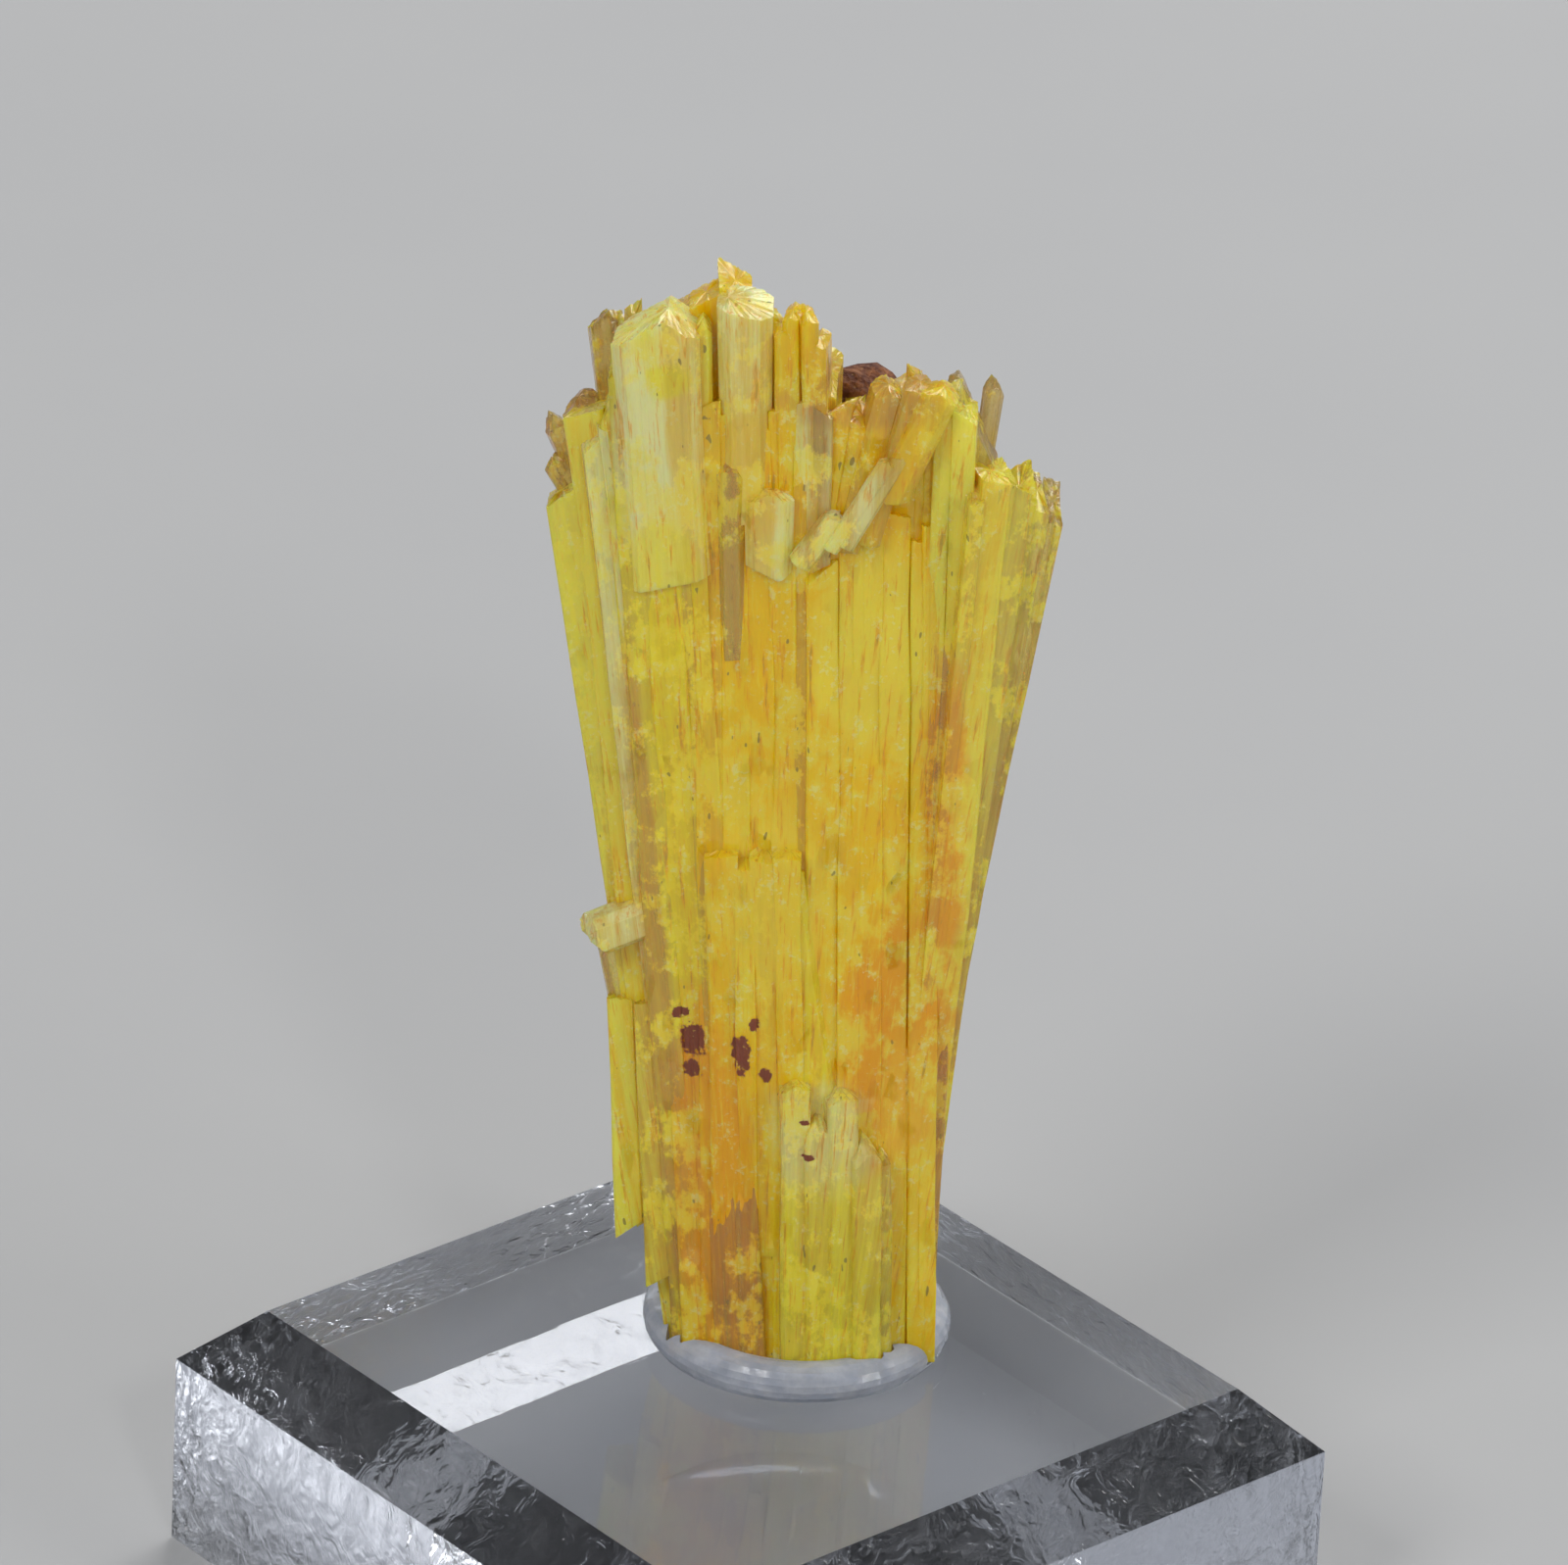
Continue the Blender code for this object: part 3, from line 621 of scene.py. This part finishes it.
def front_layers():
    """Later growth that lies on the front of the body and ends in ledges."""
    tops = (8.1, 7.2, 7.8, 6.6)
    jagged = [
        Crystal((0.02 + 0.52 * place, -2.1, 0), (0.04 + 0.52 * place, -2.25, top), 0.7, 1.1,
                turn=6 + 3 * place, tops=POINT if place % 2 else WEDGE, chamfer=0.12,
                tint=PALE, clear=0.45)
        for place, top in enumerate(tops)
    ]
    return [
        Crystal((-0.75, -1.7, 3), (-0.85, -2.15, 14.1), 2.1, 1.0, turn=-3, tops=((10, 0), (-6, 0)),
                tint=GOLD, clear=0.15),
        Crystal((0.75, -1.8, 5.5), (-0.25, -2.1, 13.6), 1.1, 0.95, turn=4, laths=1, tint=LEMON,
                clear=0.3),
        Crystal((-1.55, -1.65, 0), (-1.9, -1.45, 10.2), 1.85, 1.2, turn=-8, tops=ROOF, tint=AMBER,
                clear=0.6),
        *jagged,
        Crystal((2.0, -1.85, 0), (2.02, -2.1, 6.1), 0.4, 0.9, turn=12, tops=POINT, tint=PALE,
                clear=0.6),
        Crystal((2.65, -1.3, 0), (2.65, -1.5, 8.9), 0.5, 0.9, turn=14, tops=POINT, tint=LEMON),
    ]


def splinters():
    """Crystals that lie aslant over the upper right of the front."""
    ends = (
        ((0.25, -2.55, 21.4), (1.15, -2.45, 22.6), 0.5),
        ((0.95, -2.6, 21.8), (2.3, -2.45, 24.0), 0.42),
        ((1.25, -2.55, 21.9), (2.55, -2.4, 24.1), 0.36),
        ((0.9, -1.8, 21.0), (1.5, -1.8, 25.2), 0.85),
        ((1.3, -1.95, 21.6), (2.25, -1.95, 25.6), 0.7),
        ((1.8, -2.05, 21.8), (2.95, -2.0, 25.7), 0.6),
    )
    laths = [
        Crystal(foot, tip, width, 0.55 if width < 0.55 else 1.0, turn=9 * (-1) ** place,
                tint=WHITISH if width < 0.55 else GOLD, clear=0.5)
        for place, (foot, tip, width) in enumerate(ends)
    ]
    golden = Crystal((2.25, -2.25, 22.9), (3.5, -2.25, 25.7), 0.9, 0.9, turn=-10,
                     roots=((30, 0), (-30, 0)), laths=1, tint=DEEP_YELLOW, clear=0.4)
    return [*laths, golden]


def side_stub():
    """The short crystal that lies across the left edge."""
    return [Crystal((-2.4, -1.2, 12.1), (-4.65, -1.95, 11.5), 1.0, 0.95, tops=((14, 10), (-28, 0)),
                    laths=1, tint=WHITISH, clear=0.45)]


def cluster_crystals():
    """Every crystal of the cluster."""
    chance = random.Random(SEED)
    fillers = (
        fan_layer(chance, back=-0.6, left=-4.5, right=5.1, count=7, thick=1.8, drop=1.2)
        + fan_layer(chance, back=0.9, left=-4.8, right=5.3, count=8, thick=1.9, drop=1.4)
        + fan_layer(chance, back=2.1, left=-3.9, right=4.2, count=6, thick=1.5, drop=2.6)
    )
    placed = (body_crystals() + left_fan() + right_fan() + top_crystals() + rear_tips()
              + front_layers() + splinters() + side_stub())
    return [lath for crystal in placed + fillers for lath in bundle(crystal, chance)]


def grown_together(name, crystals):
    """One closed mesh of the crystals, cut off flat at the foot, in world metres."""
    chance = random.Random(SEED + 1)
    members = bpy.data.collections.new(name + "_members")
    bpy.context.scene.collection.children.link(members)
    for place, crystal in enumerate(crystals[1:]):
        mesh = lath_mesh(f"{name}_{place}", crystal, chance)
        members.objects.link(bpy.data.objects.new(mesh.name, mesh))
    whole = bpy.data.objects.new(name, lath_mesh(name, crystals[0], chance))
    bpy.context.scene.collection.objects.link(whole)
    union = whole.modifiers.new("Grown together", "BOOLEAN")
    union.operation = "UNION"
    union.operand_type = "COLLECTION"
    union.collection = members
    union.solver = "MANIFOLD"
    block = bpy.data.objects.new(name + "_below", block_mesh(20.0, 10.0))
    level = Matrix.Rotation(-SPECIMEN_LEAN, 4, "Y")
    block.matrix_world = level @ Matrix.Translation((0, 0, FOOT_LIFT))
    bpy.context.scene.collection.objects.link(block)
    foot = whole.modifiers.new("Flat foot", "BOOLEAN")
    foot.operation = "DIFFERENCE"
    foot.object = block
    foot.solver = "MANIFOLD"
    settled = applied(whole)
    for item in [*members.objects, block, whole]:
        bpy.data.objects.remove(item, do_unlink=True)
    bpy.data.collections.remove(members)
    settled.transform(specimen_frame())
    return settled


def block_mesh(side, depth):
    """A square block whose top is at its origin."""
    bm = bmesh.new()
    bmesh.ops.create_cube(bm, size=1)
    bmesh.ops.scale(bm, vec=(side, side, depth), verts=bm.verts)
    bmesh.ops.translate(bm, vec=(0, 0, -depth / 2), verts=bm.verts)
    mesh = bpy.data.meshes.new("block")
    bm.to_mesh(mesh)
    bm.free()
    return mesh


def applied(item):
    """A new mesh with the item's modifiers worked in."""
    graph = bpy.context.evaluated_depsgraph_get()
    return bpy.data.meshes.new_from_object(item.evaluated_get(graph), depsgraph=graph)


def specimen_frame():
    """From millimetres on the leaning specimen to the world."""
    place = Matrix.Translation((*SPECIMEN_PLACE, BASE_HEIGHT))
    turn = Matrix.Rotation(SPECIMEN_TURN, 4, "Z")
    lean = Matrix.Rotation(SPECIMEN_LEAN, 4, "Y")
    return place @ turn @ lean @ Matrix.Scale(MM, 4)


def crystal_piece():
    """The detailed cluster, in place of its CAD solid."""
    mesh = grown_together("legrandite_cluster", cluster_crystals())
    mesh.materials.clear()
    mesh.materials.append(legrandite())
    item = bpy.data.objects.new("legrandite_cluster", mesh)
    bpy.context.scene.collection.objects.link(item)
    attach(item, "root")
    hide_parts("legrandite_crystals")


# Colour zones: middle and half size in millimetres on the specimen, colour and strength
ZONES = (
    ((2.3, -1.0, 9.0), (1.3, 3.0, 3.5), AMBER, 0.75),
    ((-2.0, -1.0, 5.6), (0.95, 3.0, 4.6), AMBER, 0.6),
    ((3.5, -1.0, 14.8), (0.5, 3.0, 4.4), AMBER, 0.8),
    ((1.9, -1.5, 19.0), (1.6, 2.0, 2.6), CREAM, 0.7),
    ((-0.5, -2.0, 12.5), (1.3, 1.4, 2.6), CREAM, 0.5),
    ((2.7, -1.5, 5.0), (0.8, 2.0, 4.0), CREAM, 0.3),
    ((0.6, -2.6, 6.6), (1.2, 1.4, 1.4), WHITISH, 0.6),
    ((0.7, -2.5, 2.6), (1.3, 2.0, 3.0), YELLOW, 0.6),
    ((-3.4, -2.0, 23.6), (0.5, 2.0, 2.2), WHITISH, 0.8),
    ((-2.6, -2.0, 26.0), (0.5, 2.0, 0.5), YELLOW, 0.8),
    ((-2.8, -2.0, 21.4), (0.8, 2.0, 1.2), YELLOW, 0.7),
    ((-1.0, -1.6, 23.6), (0.9, 1.6, 2.0), GOLD, 0.6),
    ((2.4, -1.5, 24.6), (1.3, 2.0, 1.0), GOLD, 0.6),
    ((1.5, -1.2, 25.4), (2.0, 2.4, 0.7), BROWN, 0.5),
)
# Flat iron stains on the front: middle and half size, across and up
STAINS = (
    ((-2.25, 8.9), (0.28, 0.38)), ((-2.55, 9.6), (0.2, 0.14)), ((-2.3, 8.1), (0.2, 0.2)),
    ((-1.15, 8.7), (0.2, 0.45)), ((-0.85, 9.5), (0.12, 0.16)), ((-0.6, 8.15), (0.14, 0.16)),
    ((0.3, 7.1), (0.12, 0.1)), ((0.35, 6.2), (0.2, 0.08)),
)


def legrandite():
    shader = Shader("legrandite_crystal")
    place = specimen_place(shader)
    across, back, up = shader.axes(place)
    grain = shader.node("ShaderNodeAttribute", {"attribute_name": "grain"}, out=1)
    around, along, cap = shader.axes(grain)
    tint = shader.node("ShaderNodeAttribute", {"attribute_name": "tint"})
    clearness = shader.node("ShaderNodeAttribute", {"attribute_name": "tint"}, out=3)
    # Lines that run to the root of the fan, as its crystals do, across one lath and the next
    spread = (across - FAN_ROOT_ACROSS) / (up - FAN_ROOT_UP) * FAN_SPREAD
    bands = shader.vector(spread, back * 0.5, up * 0.05)
    bands = shader.noise(bands, scale=1.3, detail=6.0, roughness=0.7)
    hairlines_and_painted_light = shader.vector(spread, back, up * 0.09)
    hairlines_and_painted_light = shader.noise(hairlines_and_painted_light, scale=6.0, detail=4.0, roughness=0.7)
    # Lines that keep to one lath
    streaks = shader.vector(around * 4.5, along * 0.16, 0.0)
    streaks = shader.noise(streaks, detail=4.0, roughness=0.65)
    fine = shader.noise(shader.vector(around * 14.0, along * 0.35, 5.0), detail=2.0)
    cloud = shader.noise(place, scale=0.6, detail=3.0)
    milk = shader.vector(across, back, up * 0.7)
    milk = shader.noise(milk, scale=1.9, detail=6.0, roughness=0.68)
    etch = shader.noise(place, scale=8.0, detail=3.0, roughness=0.6)
    warp = (cloud - 0.5) * 2.4 + (bands - 0.5) * 2.0 + (milk - 0.5) * 1.4

    color = shader.mix(bands.smooth(0.44, 0.60) * 0.65, tint, GOLD)
    color = shader.mix(bands.smooth(0.45, 0.34) * 0.5, color, LEMON)
    for middle, size, zone, strength in ZONES:
        reach = ((across - middle[0]) / size[0]) ** 2 + ((up - middle[2]) / size[2]) ** 2
        reach = reach + ((back - middle[1]) / size[1]) ** 2 + warp
        color = shader.mix(reach.smooth(1.5, 0.45) * strength, color, zone)
    veil = (milk + (cloud - 0.5) * 0.8).smooth(0.48, 0.62)
    color = shader.mix(veil * 0.55, color, CREAM)
    # Painted highlights: the lighter cream fine lines along the fan. The amber lines below are the
    # crystals' own colour streaks.
    color = shader.mix(hairlines_and_painted_light.smooth(0.56, 0.66) * 0.4, color, CREAM)
    color = shader.mix(hairlines_and_painted_light.smooth(0.45, 0.36) * 0.6, color, AMBER)
    # Painted shade: the darkest fine lines, in dark olive, stand in for the narrow gaps between
    # crystals
    color = shader.mix(hairlines_and_painted_light.smooth(0.36, 0.31) * 0.6, color, PAINTED_GAP_SHADE)
    color = shader.mix((etch + (milk - 0.5)).smooth(0.60, 0.72) * 0.4, color, WHITISH)
    specks = shader.noise(shader.vector(across * 5.0, back * 5.0, up * 2.2), detail=1.0)
    color = shader.mix(specks.smooth(0.75, 0.77) * 0.7, color, DARK)
    blots = 0.0
    for (middle, level), (wide, high) in STAINS:
        reach = ((across - middle) / wide) ** 2 + ((up - level) / high) ** 2
        reach = reach + (etch - 0.5) * 4.0 + (milk - 0.5) * 3.0
        blots = reach.smooth(1.3, 0.9).larger(blots)
    blots = blots * back.smooth(-0.6, -1.2)
    color = shader.mix(blots, color, RUST)

    roughness = 0.05 + 0.12 * veil + 0.5 * blots
    height = (fine * 0.3 + streaks * 0.5 + hairlines_and_painted_light * 0.5) * (1.0 - cap) + etch * 0.15 + milk * 0.5
    normal = shader.bump(height, 0.07 * MM, 0.8)
    # Small cleavage flakes, each turned its own way, that catch the light
    flakes = shader.vector(across * 3.2, back * 3.2, up * 1.1)
    turned = shader.cells(flakes, out=1)
    where = shader.noise(place, scale=1.1, detail=2.0).smooth(0.50, 0.66)
    tilt = shader.vectors("SUBTRACT", {0: turned, 1: (0.5, 0.5, 0.5)})
    tilt = shader.vectors("SCALE", {0: tilt, "Scale": where * 0.6})
    normal = shader.vectors("ADD", {0: normal, 1: tilt})
    normal = shader.vectors("NORMALIZE", {0: normal})
    milky = shader.surface(
        Base_Color=color, Roughness=roughness, Normal=normal, IOR=LEGRANDITE_IOR,
        Subsurface_Weight=0.6, Subsurface_Radius=(1.0, 0.5, 0.04), Subsurface_Scale=0.5 * MM,
        Transmission_Weight=0.3,
    )
    glassy = shader.surface(
        Base_Color=shader.mix(0.5, color, CLEAR_YELLOW), Roughness=roughness * 0.4,
        Normal=normal, IOR=LEGRANDITE_IOR, Transmission_Weight=0.85,
    )
    clear = clearness + (streaks - 0.5) * 0.9 + (bands - 0.5) * 0.9 - veil * 0.35 - blots
    clear = clear.smooth(0.2, 0.95)
    mixed = shader.node("ShaderNodeMixShader", inputs={0: clear, 1: milky, 2: glassy})
    return shader.finish(mixed, volume=LEGRANDITE_ABSORBS)


def limonite():
    shader = Shader("limonite_crust")
    place = specimen_place(shader)
    lumps = shader.noise(place, scale=2.2, detail=5.0, roughness=0.65)
    grit = shader.cells(place, scale=5.0)
    color = shader.mix(lumps.smooth(0.35, 0.65), (0.10, 0.025, 0.012), (0.34, 0.13, 0.05))
    color = shader.mix(grit.smooth(0.25, 0.05) * 0.6, color, (0.42, 0.22, 0.08))
    normal = shader.bump(lumps + grit * 0.4, 0.35 * MM)
    surface = shader.surface(Base_Color=color, Roughness=0.75 + 0.2 * lumps, Normal=normal)
    return shader.finish(surface)


def mounting_wax():
    shader = Shader("clear_mounting_wax")
    place = specimen_place(shader)
    waves = shader.noise(place, scale=0.7, detail=2.0)
    cloud = shader.noise(place, scale=1.8, detail=4.0, roughness=0.6)
    color = shader.mix(cloud.smooth(0.35, 0.7), (0.62, 0.66, 0.74), (0.82, 0.84, 0.88))
    normal = shader.bump(waves + cloud * 0.08, 0.25 * MM)
    surface = shader.surface(Base_Color=color, Roughness=0.12 + 0.15 * cloud, Normal=normal,
                             Transmission_Weight=0.6, IOR=WAX_IOR)
    return shader.finish(surface, volume=WAX_ABSORBS)


def clear_acrylic():
    shader = Shader("clear_acrylic")
    place = shader.node("ShaderNodeTexCoord", out=3)
    across, back, up = shader.axes(place)
    facing = shader.node("ShaderNodeNewGeometry", out=1)
    _, _, rise = shader.axes(facing)
    # The top is polished, the bevels and sides are sawn
    sawn = rise.smooth(0.9, 0.75) * rise.smooth(-0.9, -0.75)
    saw = shader.noise(shader.vector(across * 900.0, back * 900.0, up * 260.0), detail=3.0)
    peel = shader.noise(place, scale=1500.0, detail=3.0, distortion=1.2)
    scratch = shader.noise(shader.vector(across * 300.0, back * 4000.0, up * 4000.0), detail=2.0)
    height = sawn * (saw * 0.6 + peel * 0.5) + scratch * 0.01
    normal = shader.bump(height, 0.12 * MM)
    roughness = 0.015 + sawn * (0.06 + 0.16 * peel.smooth(0.45, 0.7))
    surface = shader.surface(Base_Color=(0.97, 0.98, 1.0, 1.0), Roughness=roughness, Normal=normal,
                             Transmission_Weight=1.0, IOR=ACRYLIC_IOR)
    return shader.finish(surface, volume=ACRYLIC_ABSORBS)


def dress(node, material):
    """Gives a CAD node a better material."""
    item = frame["nodes"][node]
    if not item.material_slots:
        item.data.materials.append(material)
    for slot in item.material_slots:
        slot.material = material


def studio_floor():
    """A pale floor that curves up into a backdrop behind the object."""
    bm = bmesh.new()
    profile = [(FLOOR_FRONT, 0.0), (FLOOR_BEND, 0.0)]
    for step in range(1, FLOOR_BEND_STEPS + 1):
        angle = math.radians(90 * step / FLOOR_BEND_STEPS)
        along = FLOOR_BEND + FLOOR_BEND * math.sin(angle)
        profile.append((along, FLOOR_BEND - FLOOR_BEND * math.cos(angle)))
    profile.append((2 * FLOOR_BEND, FLOOR_TOP))
    rows = []
    for along, up in profile:
        sides = (-FLOOR_HALF_WIDTH, FLOOR_HALF_WIDTH)
        rows.append([bm.verts.new((side, along, up)) for side in sides])
    for low, high in zip(rows, rows[1:]):
        bm.faces.new((low[0], low[1], high[1], high[0]))
    shader = Shader("pale_floor")
    place = shader.node("ShaderNodeTexCoord", out=3)
    mottle = shader.noise(place, scale=60.0, detail=3.0)
    color = shader.mix(mottle, (0.38, 0.38, 0.38), (0.41, 0.41, 0.405))
    mesh = bpy.data.meshes.new("studio_floor")
    bm.to_mesh(mesh)
    bm.free()
    mesh.materials.append(shader.finish(shader.surface(Base_Color=color, Roughness=0.8)))
    mesh.shade_smooth()
    floor = bpy.data.objects.new("studio_floor", mesh)
    bpy.context.scene.collection.objects.link(floor)
    floor.rotation_euler = (0, 0, CAMERA_AZIMUTH)
    floor.location = (0, 0, -FLOOR_DROP)


def soft_light(name, place, size, power):
    light = bpy.data.lights.new(name, "AREA")
    light.shape = "RECTANGLE"
    light.size, light.size_y = size
    light.energy = power
    item = bpy.data.objects.new(name, light)
    item.location = place
    item.rotation_euler = (Vector(LIGHT_AIM) - place).to_track_quat("-Z", "Y").to_euler()
    bpy.context.scene.collection.objects.link(item)


def studio_lights(strength):
    """The soft lights and the pale world, all scaled by one strength."""
    world = bpy.data.worlds.new("studio")
    world.use_nodes = True
    background = world.node_tree.nodes["Background"]
    background.inputs["Color"].default_value = opaque(WORLD_COLOR)
    background.inputs["Strength"].default_value = WORLD_STRENGTH * strength
    bpy.context.scene.world = world
    bpy.context.scene.view_settings.view_transform = "Standard"
    turn = Matrix.Rotation(CAMERA_AZIMUTH, 3, "Z")
    for name, place, size, power in LIGHTS:
        soft_light(name, turn @ Vector(place), size, power * strength)


def photo_camera():
    camera = bpy.data.cameras.new("photo_camera")
    camera.lens = CAMERA_LENS
    camera.sensor_width = SENSOR
    camera.sensor_fit = "HORIZONTAL"
    camera.clip_start, camera.clip_end = CAMERA_CLIP
    flat = math.cos(CAMERA_ELEVATION)
    back = Vector((math.sin(CAMERA_AZIMUTH) * flat, -math.cos(CAMERA_AZIMUTH) * flat,
                   math.sin(CAMERA_ELEVATION)))
    right = (-back).cross(Vector((0, 0, 1))).normalized()
    up = right.cross(-back)
    side = math.cos(CAMERA_ROLL) * right + math.sin(CAMERA_ROLL) * up
    top = -math.sin(CAMERA_ROLL) * right + math.cos(CAMERA_ROLL) * up
    item = bpy.data.objects.new("photo_camera", camera)
    axes = Matrix((side, top, back)).transposed().to_4x4()
    item.matrix_world = Matrix.Translation(CAMERA_PLACE) @ axes
    bpy.context.scene.collection.objects.link(item)
    bpy.context.scene.camera = item


class LegranditeSettings(bpy.types.PropertyGroup):
    """What may be tuned."""

    light: bpy.props.FloatProperty(
        name="Light", description="Strength of the studio light", default=1.0, min=0.1, max=4.0,
        subtype="FACTOR")


class CrystalOperator(bpy.types.Operator):
    """Builds the detailed crystals in their translucent yellow material"""

    bl_idname = "legrandite.crystals"
    bl_label = "Crystals"

    def execute(self, context):
        crystal_piece()
        return {"FINISHED"}


class CrustOperator(bpy.types.Operator):
    """Gives the iron oxide crust its earthy material"""

    bl_idname = "legrandite.crust"
    bl_label = "Crust"

    def execute(self, context):
        dress("limonite_crust", limonite())
        return {"FINISHED"}


class MountOperator(bpy.types.Operator):
    """Gives the wax and the acrylic block their clear materials"""

    bl_idname = "legrandite.mount"
    bl_label = "Wax and block"

    def execute(self, context):
        dress("mounting_wax", mounting_wax())
        dress("acrylic_base", clear_acrylic())
        return {"FINISHED"}


class StageOperator(bpy.types.Operator):
    """Adds the floor, the lights and the camera"""

    bl_idname = "legrandite.stage"
    bl_label = "Stage"

    def execute(self, context):
        studio_floor()
        studio_lights(context.scene.legrandite.light)
        photo_camera()
        return {"FINISHED"}


class LegranditePanel(bpy.types.Panel):
    """The add-on's panel"""

    bl_idname = "VIEW3D_PT_legrandite"
    bl_label = "Legrandite cluster"
    bl_space_type = "VIEW_3D"
    bl_region_type = "UI"
    bl_category = "Legrandite"

    def draw(self, context):
        self.layout.prop(context.scene.legrandite, "light")
        for operator in OPERATORS:
            self.layout.operator(operator.bl_idname)


OPERATORS = (CrystalOperator, CrustOperator, MountOperator, StageOperator)
CLASSES = (LegranditeSettings, *OPERATORS, LegranditePanel)


def register():
    for item in CLASSES:
        bpy.utils.register_class(item)
    bpy.types.Scene.legrandite = bpy.props.PointerProperty(type=LegranditeSettings)


def unregister():
    del bpy.types.Scene.legrandite
    for item in reversed(CLASSES):
        bpy.utils.unregister_class(item)


def main():
    register()
    bpy.ops.legrandite.crystals()
    bpy.ops.legrandite.crust()
    bpy.ops.legrandite.mount()
    bpy.ops.legrandite.stage()


if __name__ == "__main__":
    main()
